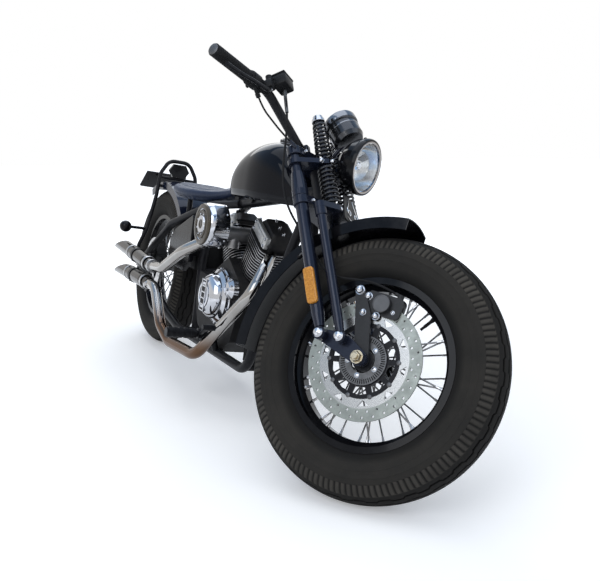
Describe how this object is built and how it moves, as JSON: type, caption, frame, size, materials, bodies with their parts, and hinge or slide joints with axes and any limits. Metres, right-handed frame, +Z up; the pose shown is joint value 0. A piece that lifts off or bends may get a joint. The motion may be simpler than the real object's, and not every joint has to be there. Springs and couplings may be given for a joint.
{
  "type": "cruiser motorcycle",
  "caption": "Low cruiser motorcycle with a sprung leading-link fork, spoked wheels, a finned V engine and a solo saddle, parked leaning on its side stand.",
  "frame": {"origin": "middle of the footprint on the floor, as parked", "axes": "+X forward, +Y to the rider's left, +Z up; the machine leans 10 degrees to its left"},
  "size_m": [2.1775, 0.6736, 1.0785],
  "materials": {
    "tyre": "matt black rubber, dusty",
    "black_rim": "gloss black",
    "stainless": "satin",
    "black_metal": "satin black",
    "tank_black": "gloss black lacquer",
    "blue_black": "gloss blue-black",
    "chrome": "mirror",
    "aluminium": "cast, satin",
    "engine_black": "black, bright fin edges",
    "chain": "oiled",
    "rubber": "matt",
    "black_plastic": "satin black",
    "vinyl": "navy ribbed vinyl",
    "lamp_black": "gloss black",
    "glass": "clear",
    "amber": "moulded reflector",
    "lamp_plastic": "moulded lens",
    "gunmetal": "gunmetal gloss"
  },
  "bodies": {
    "chassis": {"drive_chain": "chain", "engine_case": "engine_black", "cylinders": "engine_black", "engine_covers": "chrome", "air_cleaner": "chrome", "carburettor": "aluminium", "exhausts": "chrome", "seat": "vinyl", "frame": "black_metal", "rear_axle": "stainless", "rear_caliper": "black_metal", "fuel_cap": "chrome", "fuel_tank": "tank_black", "sissy_bar": "black_metal", "rear_mudguard": "blue_black", "rear_lamps": "lamp_plastic", "number_plate": "aluminium", "side_panels": "tank_black", "battery_box": "black_plastic", "foot_controls": "black_metal", "regulator_box": "black_metal", "exhaust_bracket": "black_metal"},
    "rear_wheel": {"rear_tyre": "tyre", "rear_rim": "black_rim", "rear_spokes": "stainless", "rear_hub": "aluminium", "rear_disc": "stainless", "rear_sprocket": "stainless"},
    "fork": {"front_mudguard": "blue_black", "fork_yokes": "black_metal", "rigid_legs": "black_metal", "spring_fork": "black_metal", "fork_springs": "black_metal", "rockers": "black_metal", "fork_pivots": "chrome", "front_caliper": "black_metal", "handlebar": "black_metal", "grips": "rubber", "bar_controls": "black_plastic", "brake_hose": "rubber", "throttle_cable": "rubber", "headlight": "lamp_black", "headlight_lens": "glass", "speedometer": "gunmetal", "reflectors": "amber", "front_panel": "black_plastic"},
    "front_wheel": {"front_tyre": "tyre", "front_rim": "black_rim", "front_spokes": "stainless", "front_hub": "aluminium", "front_disc": "stainless"},
    "side_stand": {"side_stand": "black_metal"}
  },
  "joints": [
    {"name": "steering", "type": "hinge", "parent": "chassis", "child": "fork", "pos_m": [0.46695, 0.02004, 0.70921], "axis": [-0.5453, 0.1448, 0.8256], "range_deg": [-70, 0]},
    {"name": "front_wheel_spin", "type": "hinge", "parent": "fork", "child": "front_wheel", "pos_m": [0.79182, -0.01587, 0.30147], "axis": [-0.4819, 0.7517, -0.4502], "continuous": true},
    {"name": "rear_wheel_spin", "type": "hinge", "parent": "chassis", "child": "rear_wheel", "pos_m": [-0.75883, -0.04927, 0.32595], "axis": [-0.0014, 0.9848, -0.1736], "continuous": true},
    {"name": "side_stand_fold", "type": "hinge", "parent": "chassis", "child": "side_stand", "pos_m": [-0.1604, 0.06893, 0.12769], "axis": [0.0395, 0.6507, 0.7583], "range_deg": [0, 103]}
  ]
}
